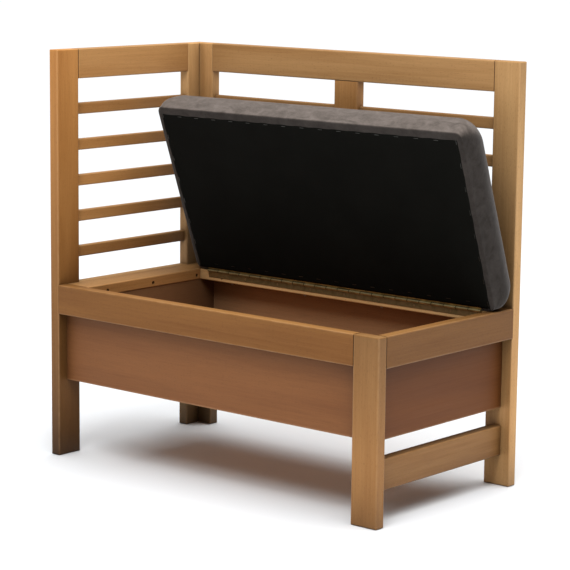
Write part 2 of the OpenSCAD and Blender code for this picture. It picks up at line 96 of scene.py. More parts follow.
def make_camera():
    a, p, r = (math.radians(v) for v in (CAMERA_AZIMUTH, CAMERA_PITCH, CAMERA_ROLL))
    ahead = Vector((-math.sin(a) * math.cos(p), math.cos(a) * math.cos(p), math.sin(p)))
    level = Vector((math.cos(a), math.sin(a), 0))
    down = ahead.cross(level)
    right = level * math.cos(r) + down * math.sin(r)
    up = right.cross(ahead)
    data = bpy.data.cameras.new("camera")
    data.lens = CAMERA_LENS
    data.sensor_width = CAMERA_SENSOR
    data.clip_start, data.clip_end = CAMERA_CLIP
    cam = place("camera", data)
    turn = Matrix((right, up, -ahead)).transposed().to_4x4()
    cam.matrix_world = Matrix.Translation(CAMERA_PLACE) @ turn
    bpy.context.scene.camera = cam


def make_world():
    world = bpy.data.worlds.new("studio")
    bpy.context.scene.world = world
    world.use_nodes = True
    back = world.node_tree.nodes["Background"]
    back.inputs["Color"].default_value = WORLD_COLOUR
    back.inputs["Strength"].default_value = WORLD_LIGHT


def make_overhead():
    """A very wide soft light from above, which also lights the pale floor."""
    data = bpy.data.lights.new("overhead", "SUN")
    data.energy = OVERHEAD_LIGHT
    data.angle = math.radians(OVERHEAD_SPREAD)
    aim(place("overhead", data), OVERHEAD_WAY)


def make_key():
    """A square soft box high in front, for the shadows under the rails."""
    data = bpy.data.lights.new("key", "AREA")
    data.shape = "RECTANGLE"
    data.size = data.size_y = KEY_SIZE
    data.energy = KEY_POWER
    light = place("key", data)
    light.location = KEY_PLACE
    aim(light, Vector(KEY_TARGET) - Vector(KEY_PLACE))


def make_floor():
    mesh = bpy.data.meshes.new("floor")
    s = FLOOR_HALF
    mesh.from_pydata([(-s, -s, 0), (s, -s, 0), (s, s, 0), (-s, s, 0)], [], [(0, 1, 2, 3)])
    floor = place("floor", mesh)
    floor.location.z = -FLOOR_DROP
    mat, nt, shader = new_material("floor_paint")
    shader.inputs["Base Color"].default_value = FLOOR_COLOUR
    shader.inputs["Roughness"].default_value = 0.9
    shader.inputs["Specular IOR Level"].default_value = 0.1
    mesh.materials.append(mat)


# ---------------------------------------------------------------- material helpers

def new_material(name):
    mat = bpy.data.materials.new(name)
    mat.use_nodes = True
    nt = mat.node_tree
    return mat, nt, nt.nodes["Principled BSDF"]


def add(nt, kind, inputs=None, **settings):
    """A node with its settings and inputs. An input may be a number, a tuple or another node's output."""
    node = nt.nodes.new(kind)
    for key, value in settings.items():
        setattr(node, key, value)
    for key, value in (inputs or {}).items():
        sock = node.inputs[key]
        if isinstance(value, bpy.types.NodeSocket):
            nt.links.new(value, sock)
        else:
            sock.default_value = value
    return node


def math_node(nt, operation, a, b=0.0, clamp=False):
    return add(nt, "ShaderNodeMath", {0: a, 1: b}, operation=operation, use_clamp=clamp).outputs[0]


def times(nt, a, b):
    return math_node(nt, "MULTIPLY", a, b)


def vector_node(nt, operation, a, b=(0, 0, 0)):
    return add(nt, "ShaderNodeVectorMath", {0: a, 1: b}, operation=operation)


def map_range(nt, value, lo, hi, to_lo=0.0, to_hi=1.0, smooth=False):
    node = add(nt, "ShaderNodeMapRange", {0: value, 1: lo, 2: hi, 3: to_lo, 4: to_hi})
    if smooth:
        node.interpolation_type = "SMOOTHSTEP"
    return node.outputs[0]


def mix_colour(nt, fac, a, b, blend="MIX"):
    node = add(nt, "ShaderNodeMix", {0: fac, 6: a, 7: b}, data_type="RGBA", blend_type=blend)
    return node.outputs[2]


def scale_colour(nt, colour, level):
    """A colour times one number."""
    grey = add(nt, "ShaderNodeCombineColor", {0: level, 1: level, 2: level}).outputs[0]
    return mix_colour(nt, 1.0, colour, grey, "MULTIPLY")


def object_coordinates(nt):
    return nt.nodes.new("ShaderNodeTexCoord").outputs["Object"]


def surface_normal(nt):
    return nt.nodes.new("ShaderNodeTexCoord").outputs["Normal"]


def coordinates(nt, offset=(0, 0, 0), scale=(1, 1, 1)):
    moved = vector_node(nt, "ADD", object_coordinates(nt), offset).outputs[0]
    return vector_node(nt, "MULTIPLY", moved, scale).outputs[0]


def part(nt, vector, i):
    """One part of a vector, by its number."""
    return add(nt, "ShaderNodeSeparateXYZ", {0: vector}).outputs[i]


def noise_value(nt, vector, scale, detail, more=None):
    inputs = {"Vector": vector, "Scale": scale, "Detail": detail}
    inputs.update(more or {})
    return add(nt, "ShaderNodeTexNoise", inputs).outputs["Fac"]


def set_inputs(shader, values):
    for key, value in values.items():
        shader.inputs[key].default_value = value


def bump(nt, shader, strength, distance, height):
    node = add(nt, "ShaderNodeBump", {"Strength": strength, "Distance": distance, "Height": height})
    nt.links.new(node.outputs["Normal"], shader.inputs["Normal"])


# ---------------------------------------------------------------- wood

BEECH_LIGHT = (0.560, 0.310, 0.123, 1)
BEECH_DARK = (0.400, 0.192, 0.062, 1)
BEECH_FLECK = (0.18, 0.078, 0.026, 1)
BEECH_RUBBED_LIT = (0.54, 0.33, 0.17, 1)
VENEER_LIGHT = (0.384, 0.170, 0.067, 1)
VENEER_DARK = (0.305, 0.126, 0.049, 1)
CORE_LIGHT = (0.5, 0.34, 0.2, 1)
CORE_DARK = (0.3, 0.17, 0.09, 1)
BEECH_GLOSS = 0.42
VENEER_GLOSS = 0.46
PLY_GLOSS = 0.6

# How often each pattern repeats per metre, along the grain and across it
RING_RATE = (0.12, 1.0)
WARP_RATE = (1.3, 9)
BROAD_RATE = (2.2, 26)
STREAK_RATE = (7, 330)
FIBRE_RATE = (30, 1700)
FLECK_RATE = (110, 620)
RUB_RATE = 45

# Distance of the pith from the board's middle, and how far the rings wander
PITH = (0.05, 0.11)
WANDER = 0.03

RING_WEIGHT = 0.18
FLECK_WEIGHT = 0.42
RUB_HIGHLIGHT_WEIGHT = 0.35
# How much a board's green follows its warmth, as a share of its blue
WARM_GREEN = 0.45
# The tones are fitted on upright faces, so faces that look up take only this power of them: painted
# light on the tops, which stay nearer the plain wood than the sides
UPWARD_PAINTED_POWER = 0.5
# Shade in inner corners, kept in the colour because the even studio light leaves it too weak:
# how far it reaches, and its darkest level
CORNER_REACH = 0.15
CORNER_SHADE = 0.3
# Width of the rubbed edges, which are lighter for wear and also as a painted highlight on the eased
# edges: full up to the first, none from the second
EDGE_FULL = 1.2 * MM
EDGE_NONE = 4.2 * MM
# Thickness of a light and a dark ply together, and where the face veneer ends
PLY_LAYER = 3.2 * MM
PLY_FACE = (0.7 * MM, 0.9 * MM)

# Grain axis, tone and warmth of each board. Most of these tones and warmths, and those of the front and
# right panels below, were fitted to the photograph's colours by a separate script. They make up for
# light that this scene leaves out as well as for the wood, so they hold for this light and camera.
BOARDS = {
    "left_panel_front_post": (Z, 0.57, 0.40), "left_panel_rear_post": (Z, 1.42, -0.15),
    "left_panel_top_rail": (Y, 0.98, 0.14), "left_panel_seat_rail": (Y, 0.95, 0.05),
    "back_left_post": (Z, 1.28, -0.04), "back_right_post": (Z, 0.98, -0.10),
    "back_top_rail": (X, 0.84, 0.03), "back_seat_rail": (X, 0.96, 0.0),
    "back_centre_stile": (Z, 0.94, 0.21), "front_right_leg": (Z, 0.60, 0.27),
    "seat_front_rail": (X, 0.42, 0.57), "seat_right_rail": (Y, 0.37, 0.49),
    "seat_left_rail": (Y, 1.05, 0.18), "seat_rear_rail": (X, 1.35, -0.25),
    "right_stretcher": (Y, 0.58, 0.28),
}
# Levels of a post's tone at its foot and at its head, set by comparing with the photograph. They too
# make up for light that this scene leaves out
FADES = {
    "left_panel_front_post": (0.38, 1.75), "left_panel_rear_post": (0.3, 1.1),
    "back_left_post": (0.25, 1.05), "back_right_post": (1.5, 1.0), "front_right_leg": (1.46, 0.74),
}
# Grain axis, each slat's tone from the top down, and warmth
SLATS = {
    "left_slat_": (Y, (0.80, 0.92, 0.98, 0.86, 0.76), 0.24),
    "back_left_slat_": (X, (0.90, 0.94, 0.98, 0.92, 0.94), 0.04),
    "back_right_slat_": (X, (0.98, 0.94, 0.92, 0.96, 0.94), 0.0),
}
# Grain axis, axis across the layers, tone and warmth of each panel. Besides the wood, the rear panel's
# tone paints in light inside the box and the left panel's paints in shade there
PANELS = {
    "box_front_panel": (X, Y, 0.64, 0.27), "box_rear_panel": (X, Y, 1.55, -0.55),
    "box_left_panel": (Y, X, 0.70, -0.25), "box_right_panel": (Y, X, 0.44, 0.60),
    "box_bottom_panel": (X, Z, 1.0, 0.0),
}


def along(axis, rate):
    """A scale from a pair: the first along the grain's axis and the second along the other two."""
    grain, cross = rate
    return tuple(grain if i == axis else cross for i in range(3))


def grain_noise(nt, offset, axis, rate, detail):
    return noise_value(nt, coordinates(nt, offset, along(axis, rate)), 1.0, detail)


def growth_rings(nt, node, axis, seed):
    """Rings around a pith beside the board, and the offset that its other patterns share."""
    rng = np.random.default_rng(seed)
    offset = tuple(rng.uniform(-3, 3, 3))
    pith = rng.uniform(*PITH)
    side = rng.uniform(0, 2 * math.pi)
    low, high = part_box(node)
    centre = [(low[i] + high[i]) / 2 for i in range(3)]
    others = [i for i in range(3) if i != axis]
    ring_offset = [0.0, 0.0, 0.0]
    ring_offset[others[0]] = -centre[others[0]] + pith * math.cos(side)
    ring_offset[others[1]] = -centre[others[1]] + pith * math.sin(side)
    ring_offset[axis] = offset[axis]
    rings_at = coordinates(nt, tuple(ring_offset), along(axis, RING_RATE))
    warp_at = coordinates(nt, offset, along(axis, WARP_RATE))
    warp = add(nt, "ShaderNodeTexNoise", {"Vector": warp_at, "Scale": 1.0, "Detail": 2.0}).outputs["Color"]
    shifted = vector_node(nt, "SUBTRACT", warp, (0.5, 0.5, 0.5)).outputs[0]
    bend = vector_node(nt, "MULTIPLY", shifted, (WANDER, WANDER, WANDER)).outputs[0]
    rings_in = vector_node(nt, "ADD", rings_at, bend).outputs[0]
    wave = {"Vector": rings_in, "Scale": 34.0, "Distortion": 1.2, "Detail": 3.0, "Detail Scale": 2.0}
    rings = add(nt, "ShaderNodeTexWave", wave, wave_type="RINGS",
                rings_direction="XYZ"[axis], wave_profile="SAW")
    return rings.outputs["Fac"], offset


def ray_flecks(nt, offset, axis):
    """Short dark flecks, in about half of the cells of a fine pattern."""
    at = coordinates(nt, offset, along(axis, FLECK_RATE))
    cells = add(nt, "ShaderNodeTexVoronoi", {"Vector": at, "Scale": 1.0, "Randomness": 1.0})
    chance = add(nt, "ShaderNodeSeparateColor", {0: cells.outputs["Color"]}).outputs[0]
    fleck = map_range(nt, cells.outputs["Distance"], 0.16, 0.30, 1.0, 0.0)
    return times(nt, fleck, map_range(nt, chance, 0.5, 0.6))


def tone_and_top_light(nt, colour, tone, warmth):
    """The board's fitted tone and warmth, weaker on faces that look up, which paints light on the tops."""
    tint = (tone, tone * (1 - WARM_GREEN * warmth), tone * (1 - warmth), 1)
    # Painted light: faces that look up take only part of the board's tone
    upward_light_mask = map_range(nt, part(nt, surface_normal(nt), Z), 0.5, 0.95)
    both = mix_colour(nt, upward_light_mask, tint, tuple(v ** UPWARD_PAINTED_POWER for v in tint))
    return mix_colour(nt, 1.0, colour, both, "MULTIPLY")


def edge_mask(nt, low, high, axis):
    """1 along a board's four long edges and 0 on its faces, from its box."""
    coord = object_coordinates(nt)
    depth = []
    for i in range(3):
        if i != axis:
            a = math_node(nt, "SUBTRACT", part(nt, coord, i), low[i])
            b = math_node(nt, "SUBTRACT", high[i], part(nt, coord, i))
            depth.append(math_node(nt, "MINIMUM", a, b))
    outer = math_node(nt, "MAXIMUM", depth[0], depth[1])
    return map_range(nt, outer, EDGE_FULL, EDGE_NONE, 1.0, 0.0, smooth=True)


def ply_layers(nt, face, low, high, axis):
    """Plywood: the veneer on both faces and alternate layers between, seen only on the edges."""
    at = part(nt, object_coordinates(nt), axis)
    from_low = math_node(nt, "SUBTRACT", at, low[axis])
    from_high = math_node(nt, "SUBTRACT", high[axis], at)
    depth = math_node(nt, "MINIMUM", from_low, from_high)
    inside = map_range(nt, depth, *PLY_FACE)
    wave = math_node(nt, "SINE", times(nt, depth, 2 * math.pi / PLY_LAYER))
    core = mix_colour(nt, map_range(nt, wave, -0.15, 0.15), CORE_LIGHT, CORE_DARK)
    return mix_colour(nt, inside, face, core)


def shade_corners(nt, colour):
    """Darkens the colour itself where other surfaces stand close."""
    hidden = add(nt, "ShaderNodeAmbientOcclusion", {"Distance": CORNER_REACH}, samples=6).outputs["AO"]
    return scale_colour(nt, colour, map_range(nt, hidden, 0.3, 0.95, CORNER_SHADE, 1.0))


def wood_material(name, node, axis, seed, light, dark,
                  tone=1.0, warmth=0.0, gloss=BEECH_GLOSS, ply=None, fade=None):
    """Lacquered wood with its grain along one axis: rings, fibres and flecks, solid through the board."""
    mat, nt, shader = new_material(name)
    low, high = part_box(node)
    rings, offset = growth_rings(nt, node, axis, seed)
    broad = grain_noise(nt, offset, axis, BROAD_RATE, 3.0)
    streak = grain_noise(nt, offset, axis, STREAK_RATE, 2.0)
    fibre = grain_noise(nt, offset, axis, FIBRE_RATE, 2.0)
    fleck = ray_flecks(nt, offset, axis)

    shade = times(nt, rings, RING_WEIGHT)
    shade = math_node(nt, "ADD", shade, map_range(nt, broad, 0.3, 0.7, -0.2, 0.55))
    shade = math_node(nt, "ADD", shade, map_range(nt, streak, 0.3, 0.7, -0.07, 0.15), clamp=True)
    colour = mix_colour(nt, shade, light, dark)
    colour = mix_colour(nt, times(nt, fleck, FLECK_WEIGHT), colour, BEECH_FLECK)
    colour = tone_and_top_light(nt, colour, tone, warmth)
    colour = scale_colour(nt, colour, map_range(nt, fibre, 0.3, 0.7, 0.93, 1.06))
    # Painted light and shade along the post's height, from its foot to its head
    if fade is not None:
        height = part(nt, coordinates(nt), Z)
        colour = scale_colour(nt, colour, map_range(nt, height, low[Z], high[Z], *fade))
    if ply is not None:
        colour = ply_layers(nt, colour, low, high, ply)

    # Lighter long edges: rubbed wear, and also a painted highlight along the eased edges
    rub = noise_value(nt, coordinates(nt, offset, (RUB_RATE, RUB_RATE, RUB_RATE)), 1.0, 3.0)
    worn_lit = times(nt, edge_mask(nt, low, high, axis), map_range(nt, rub, 0.3, 0.65, 0.25, 0.75))
    colour = mix_colour(nt, times(nt, worn_lit, RUB_HIGHLIGHT_WEIGHT), colour, BEECH_RUBBED_LIT)
    nt.links.new(shade_corners(nt, colour), shader.inputs["Base Color"])

    rough = map_range(nt, streak, 0.25, 0.75, gloss - 0.05, gloss + 0.08)
    rough = math_node(nt, "SUBTRACT", rough, times(nt, worn_lit, 0.08))
    nt.links.new(rough, shader.inputs["Roughness"])
    set_inputs(shader, {"Specular IOR Level": 0.18})
    relief = math_node(nt, "ADD", times(nt, fibre, 0.5), times(nt, fleck, -0.6))
    bump(nt, shader, 0.22, 0.4 * MM, relief)
    return mat


def put(node, mat):
    """Gives a CAD node its material."""
    mesh = frame["nodes"][node].data
    mesh.materials.clear()
    mesh.materials.append(mat)


def dress_wood():
    boards = dict(BOARDS)
    for stem, (axis, tones, warmth) in SLATS.items():
        for i, tone in enumerate(tones):
            boards[f"{stem}{i + 1}"] = (axis, tone, warmth)
    for seed, (node, (axis, tone, warmth)) in enumerate(sorted(boards.items())):
        put(node, wood_material("beech_" + node, node, axis, 100 + seed, BEECH_LIGHT, BEECH_DARK,
                                tone, warmth, fade=FADES.get(node)))
    for seed, (node, (axis, thick, tone, warmth)) in enumerate(sorted(PANELS.items())):
        put(node, wood_material("veneer_" + node, node, axis, 300 + seed, VENEER_LIGHT, VENEER_DARK,
                                tone, warmth, VENEER_GLOSS, thick))
    put("lid_board", wood_material("ply_lid_board", "lid_board", X, 400, BEECH_LIGHT, BEECH_DARK,
                                   gloss=PLY_GLOSS))
    for node in ("frame_dowels", "box_dowels"):
        put(node, wood_material("dowel_" + node, node, Z, 410, BEECH_LIGHT, BEECH_DARK, gloss=PLY_GLOSS))


# ---------------------------------------------------------------- metal

KNUCKLES = 24
GRIME = (0.035, 0.026, 0.012, 1)
# Radii around the hinge's pin where the grime starts to fade and where it has faded
GRIME_FULL = 3.5 * MM
GRIME_FADED = 4.2 * MM

# Light and dark tarnish and roughness
ANTIQUE_BRASS = ((0.54, 0.45, 0.24, 1), (0.33, 0.265, 0.125, 1), 0.44)
SCREW_BRASS = ((0.8, 0.7, 0.42, 1), (0.6, 0.5, 0.27, 1), 0.3)
ZINC_STEEL = ((0.6, 0.6, 0.58, 1), (0.4, 0.4, 0.4, 1), 0.36)
STAPLE_WIRE = ((0.09, 0.09, 0.085, 1), (0.045, 0.045, 0.04, 1), 0.45)


def knuckle_grime(nt, colour, start, pitch):
    """Grime in the gaps between the hinge's knuckles."""
    near = math_node(nt, "PINGPONG", part(nt, coordinates(nt, (-start, 0, 0), (1 / pitch, 1, 1)), X), 0.5)
    grime = map_range(nt, near, 0.018, 0.055, 0.85, 0.0, smooth=True)
    from_pin = coordinates(nt, (0, -axis_point.y, -axis_point.z), (0, 1, 1))
    radius = vector_node(nt, "LENGTH", from_pin).outputs["Value"]
    grime = times(nt, grime, map_range(nt, radius, GRIME_FULL, GRIME_FADED, 1.0, 0.12))
    return mix_colour(nt, grime, colour, GRIME)


def metal_material(name, metal, joints=None):
    """Metal with clouded tarnish and fine drawing lines, and grime between knuckles where asked."""
    light, dark, rough = metal
    mat, nt, shader = new_material(name)
    cloud = noise_value(nt, coordinates(nt), 60.0, 4.0)
    fine = noise_value(nt, coordinates(nt, scale=(90, 1400, 1400)), 1.0, 2.0)
    colour = mix_colour(nt, map_range(nt, cloud, 0.35, 0.65), light, dark)
    if joints is not None:
        colour = knuckle_grime(nt, colour, *joints)
    nt.links.new(colour, shader.inputs["Base Color"])
    nt.links.new(map_range(nt, cloud, 0.3, 0.7, rough - 0.06, rough + 0.1), shader.inputs["Roughness"])
    set_inputs(shader, {"Metallic": 1.0})
    bump(nt, shader, 0.15, 0.2 * MM, fine)
    return mat


def dress_metal():
    low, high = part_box("hinge_pin")
    pitch = (high[X] - low[X]) / KNUCKLES
    brass = metal_material("antique_brass", ANTIQUE_BRASS, (low[X], pitch))
    bright = metal_material("screw_brass", SCREW_BRASS)
    steel = metal_material("zinc_steel", ZINC_STEEL)
    for node in ("hinge_frame_leaf", "hinge_lid_leaf"):
        put(node, brass)
    for node in ("hinge_pin", "hinge_frame_screws", "hinge_lid_screws"):
        put(node, bright)
    for node in ("rail_screws", "box_screws"):
        put(node, steel)
    put("lid_staples", metal_material("staple_wire", STAPLE_WIRE))


# ---------------------------------------------------------------- the lid's own coordinates

def from_closed(x, u, w):
    """A point of the lid at rest, from u towards the free edge and w up when the lid is closed."""
    c, s = math.cos(open_angle), math.sin(open_angle)
    return Vector((x, axis_point.y - u * c + w * s, axis_point.z + u * s + w * c))


def closed_box(node):
    """Lowest and highest x, u and w of a CAD node of the lid."""
    c, s = math.cos(open_angle), math.sin(open_angle)
    co = np.array([v.co for v in frame["nodes"][node].data.vertices], float)
    y, z = co[:, 1] - axis_point.y, co[:, 2] - axis_point.z
    u, w = -y * c + z * s, y * s + z * c
    return [(a.min(), a.max()) for a in (co[:, 0], u, w)]


def mesh_object(name, points, faces):
    mesh = bpy.data.meshes.new(name)
    mesh.from_pydata([tuple(p) for p in points], [], faces)
    mesh.update()
    obj = place(name, mesh)
    shade_smooth(obj)
    return obj


def shade_smooth(obj):
    for poly in obj.data.polygons:
        poly.use_smooth = True


# ---------------------------------------------------------------- fabrics

FABRIC_LIGHT = (0.124, 0.102, 0.090, 1)
FABRIC_DARK = (0.052, 0.042, 0.035, 1)
CLOTH_DARK = (0.0036, 0.0036, 0.0029, 1)
CLOTH_LIGHT = (0.0062, 0.0061, 0.0050, 1)
CLOTH_DUSTY = (0.0072, 0.0071, 0.0058, 1)
# The nap's slant, and how much closer its patches lie along each axis
NAP_SLANT = (0.5, 0.35, 0.6)
NAP_STRETCH = (1.0, 2.1, 1.4)
# Level of the cloth's colour on the sides, on the free edge and on the top: painted shade on the sides
# and painted light and sheen on the free edge and the top. The free edge is set to the photograph's
# brightness
PAINTED_SIDE_SHADE = 0.38
PAINTED_EDGE_LIGHT = 1.45
PAINTED_TOP_LIGHT = 1.3


def painted_facing_light(nt, way, start, full, level):
    """The colour's level on faces that look one way of the closed lid: painted light and shade by a face's
    direction.
    """
    way = from_closed(*way) - from_closed(0, 0, 0)
    dot = vector_node(nt, "DOT_PRODUCT", surface_normal(nt), tuple(way)).outputs["Value"]
    return map_range(nt, dot, start, full, PAINTED_SIDE_SHADE, level, smooth=True)


def fabric_material():
    """Brushed microfibre: a soft nap that turns light and dark in slanting patches, over a fine grain."""
    mat, nt, shader = new_material("seat_fabric")
    slant = {"Vector": coordinates(nt), "Rotation": NAP_SLANT, "Scale": NAP_STRETCH}
    slanted = add(nt, "ShaderNodeMapping", slant).outputs[0]
    patch = noise_value(nt, slanted, 30.0, 5.0, {"Roughness": 0.62, "Distortion": 0.8})
    small = noise_value(nt, slanted, 150.0, 3.0)
    nap = noise_value(nt, coordinates(nt), 1500.0, 2.0)
    shade = math_node(nt, "ADD", map_range(nt, patch, 0.3, 0.7, 0.0, 0.75),
                      map_range(nt, small, 0.3, 0.7, 0.0, 0.25), clamp=True)
    colour = mix_colour(nt, shade, FABRIC_LIGHT, FABRIC_DARK)
    # Painted light on the free edge and the top, painted shade on the sides
    edge = painted_facing_light(nt, (0, 1, 0), 0.1, 0.85, PAINTED_EDGE_LIGHT)
    top = painted_facing_light(nt, (0, 0, 1), 0.6, 0.97, PAINTED_TOP_LIGHT)
    level = times(nt, map_range(nt, nap, 0.3, 0.7, 0.84, 1.14), math_node(nt, "MAXIMUM", edge, top))
    nt.links.new(scale_colour(nt, colour, level), shader.inputs["Base Color"])
    nt.links.new(map_range(nt, patch, 0.3, 0.7, 0.82, 0.95), shader.inputs["Roughness"])
    set_inputs(shader, {"Specular IOR Level": 0.15, "Sheen Weight": 0.22, "Sheen Roughness": 0.45,
                        "Sheen Tint": (0.92, 0.87, 0.84, 1)})
    bump(nt, shader, 0.35, 0.6 * MM, math_node(nt, "ADD", times(nt, nap, 0.6), times(nt, small, 0.5)))
    return mat


def black_cloth_material():
    """Spun-bonded dust cloth: matt black with a fine pressed dot pattern."""
    mat, nt, shader = new_material("black_cloth")
    fibres = noise_value(nt, coordinates(nt), 900.0, 3.0)
    dots = add(nt, "ShaderNodeTexVoronoi", {"Vector": coordinates(nt), "Scale": 420.0, "Randomness": 0.15})
    patch = noise_value(nt, coordinates(nt), 14.0, 3.0)
    colour = mix_colour(nt, map_range(nt, fibres, 0.3, 0.7), CLOTH_DARK, CLOTH_LIGHT)
    colour = mix_colour(nt, map_range(nt, patch, 0.35, 0.75, 0.0, 0.5), colour, CLOTH_DUSTY)
    nt.links.new(colour, shader.inputs["Base Color"])
    nt.links.new(map_range(nt, fibres, 0.3, 0.7, 0.8, 0.95), shader.inputs["Roughness"])
    set_inputs(shader, {"Specular IOR Level": 0.05})
    pressed = map_range(nt, dots.outputs["Distance"], 0.1, 0.4, 0.0, 0.8)
    bump(nt, shader, 0.4, 0.3 * MM, math_node(nt, "ADD", times(nt, fibres, 0.5), pressed))
    return mat


# ---------------------------------------------------------------- cushion

# Radii of the upper and lower edges, and of the plan's corners below and above
TOP_R = 23 * MM
LOW_R = 3.5 * MM
PLAN_R_LOW = 15 * MM
PLAN_R_TOP = 50 * MM
# How far the top crowns and the sides bulge, more at the two ends
CROWN = 3 * MM
BULGE = 8 * MM
SIDE_BULGE = 7 * MM
SIDE_ROLL = 3 * MM
# The most that the stuffing swells, far from the hinge and beside it
SWELL_CAP = 5 * MM
SWELL_CAP_HINGE = 1 * MM
HINGE_END = 85 * MM
# Rounds of evening out the swell, and how much of its own move a point keeps in each
EVEN_ROUNDS = 24
EVEN_KEEP = 0.4
# Height of the board inside, and the hinge leaf's width and seat in the underside
BOARD_HEIGHT = 17.5 * MM
LEAF_W = 16 * MM
LEAF_SEAT = 1.8 * MM
GRID_FINE = 4 * MM
GRID_COARSE = 11 * MM
CLOTH_FRAMES = 20
PRESSURE = 4.0
STIFFNESS = 15
BENDING = 0.5
RIPPLE_RISE = 25 * MM


def spread(lo, hi, edge):
    """Grid lines from lo to hi, close together over the rounded ends."""
    a = np.linspace(lo, lo + edge, max(2, round(edge / GRID_FINE)) + 1)
    b = np.linspace(hi - edge, hi, max(2, round(edge / GRID_FINE)) + 1)
    n = max(2, round((hi - edge - lo - edge) / GRID_COARSE))
    middle = np.linspace(lo + edge, hi - edge, n + 1)[1:-1]
    return np.concatenate([a, middle, b])


def smooth(t):
    t = min(max(t, 0.0), 1.0)
    return t * t * (3 - 2 * t)


def round_plan(x, u, box, r):
    """Rounds the plan's corners and returns the point, its depth from the outline and the way inwards."""
    (x0, x1), (u0, u1) = box
    cx = min(max(x, x0 + r), x1 - r)
    cu = min(max(u, u0 + r), u1 - r)
    vx, vu = x - cx, u - cu
    far = max(abs(vx), abs(vu))
    length = math.hypot(vx, vu)
    if length > 1e-9:
        k = far / length
        x, u = cx + vx * k, cu + vu * k
        return x, u, r - far, (-vx / length, -vu / length)
    sides = [(x - x0, (1, 0)), (x1 - x, (-1, 0)), (u - u0, (0, 1)), (u1 - u, (0, -1))]
    depth, inwards = min(sides, key=lambda s: s[0])
    return x, u, depth, inwards


def round_edge(r, depth, rise):
    """Takes a point in a square edge of size r to its quarter round, as a depth and a rise."""
    a = r - depth
    k = max(a, rise) / math.hypot(a, rise)
    return r - a * k, rise * k


def cushion_point(x, u, w, box, w0, w1):
    """Takes a point on a plain block to the cushion's rounded form."""
    mid = smooth((w - w0) / (w1 - w0))
    x, u, depth, inwards = round_plan(x, u, box, PLAN_R_LOW + (PLAN_R_TOP - PLAN_R_LOW) * mid)
    end = abs(inwards[0])
    outer = max(1 - depth / TOP_R, 0)
    rise = min(max((w - w0 - BOARD_HEIGHT * 0.5) / (w1 - w0 - BOARD_HEIGHT * 0.5), 0), 1)
    bulge = (BULGE + SIDE_BULGE * end) * math.sin(math.pi * rise ** 0.85) * outer
    bulge += SIDE_ROLL * end * outer * (1 - mid)
    moved = depth
    if w > w1 - TOP_R and depth < TOP_R:
        moved, up = round_edge(TOP_R, depth, w - (w1 - TOP_R))
        w = w1 - TOP_R + up
    elif w < w0 + LOW_R and depth < LOW_R:
        moved, down = round_edge(LOW_R, depth, w0 + LOW_R - w)
        w = w0 + LOW_R - down
    shift = moved - depth - bulge
    return x + inwards[0] * shift, u + inwards[1] * shift, w


def cushion_block():
    """The cushion before it swells, as a welded grid in the lid's own coordinates."""
    (x0, x1), (u0, u1), (w0, w1) = closed_box("lid_cover")
    xs = spread(x0, x1, PLAN_R_TOP)
    us = spread(u0, u1, PLAN_R_TOP)
    side_rows = np.linspace(w0 + LOW_R, w1 - TOP_R, 7)
    ws = np.concatenate([[w0, w0 + LOW_R * 0.5], side_rows, np.linspace(w1 - TOP_R, w1, 8)[1:]])
    index, points, faces = {}, [], []

    def quad(*corners):
        for i, j, k in corners:
            if (i, j, k) not in index:
                index[i, j, k] = len(points)
                points.append(cushion_point(xs[i], us[j], ws[k], ((x0, x1), (u0, u1)), w0, w1))
        faces.append([index[corner] for corner in corners])

    nx, nu, nw = len(xs) - 1, len(us) - 1, len(ws) - 1
    for i in range(nx):
        for j in range(nu):
            quad((i, j, nw), (i, j + 1, nw), (i + 1, j + 1, nw), (i + 1, j, nw))
            quad((i, j, 0), (i + 1, j, 0), (i + 1, j + 1, 0), (i, j + 1, 0))
    for k in range(nw):
        for i in range(nx):
            quad((i, 0, k), (i, 0, k + 1), (i + 1, 0, k + 1), (i + 1, 0, k))
            quad((i, nu, k), (i + 1, nu, k), (i + 1, nu, k + 1), (i, nu, k + 1))
        for j in range(nu):
            quad((0, j, k), (0, j + 1, k), (0, j + 1, k + 1), (0, j, k + 1))
            quad((nx, j, k), (nx, j, k + 1), (nx, j + 1, k + 1), (nx, j + 1, k))
    return points, faces, (x0, x1, u0, u1, w0, w1)


def crown(points, box):
    """Raises the middle of the top, and sinks the underside where the hinge's leaf lies."""
    x0, x1, u0, u1, w0, w1 = box
    hinge_x0, hinge_x1 = (v[X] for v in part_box("hinge_lid_leaf"))
    crowned = []
    for x, u, w in points:
        high = smooth((w - w0 - BOARD_HEIGHT) / (w1 - w0 - BOARD_HEIGHT))
        fx = 1 - abs(2 * (x - x0) / (x1 - x0) - 1) ** 4
        fu = 1 - abs(2 * (u - u0) / (u1 - u0) - 1) ** 3.2
        w += CROWN * high * fx * fu
        if w < w0 + 0.1 * MM and u < LEAF_W and hinge_x0 < x < hinge_x1:
            w = w0 + LEAF_SEAT
        crowned.append((x, -u, w))
    return crowned


def run_cloth(obj):
    """Points of the cover after the cloth's pressure has filled it. Points of the group held stay."""
    cloth = obj.modifiers.new("cloth", "CLOTH")
    s = cloth.settings
    s.use_pressure = True
    s.uniform_pressure_force = PRESSURE
    s.effector_weights.gravity = 0
    s.vertex_group_mass = "held"
    s.tension_stiffness = STIFFNESS
    s.compression_stiffness = STIFFNESS
    s.bending_stiffness = BENDING
    s.quality = 5
    cloth.collision_settings.use_collision = False
    scene = bpy.context.scene
    for f in range(1, CLOTH_FRAMES + 1):
        scene.frame_set(f)
    evaluated = obj.evaluated_get(bpy.context.evaluated_depsgraph_get())
    end = np.array([v.co for v in evaluated.data.vertices], float)
    obj.modifiers.remove(cloth)
    scene.frame_set(1)
    return end


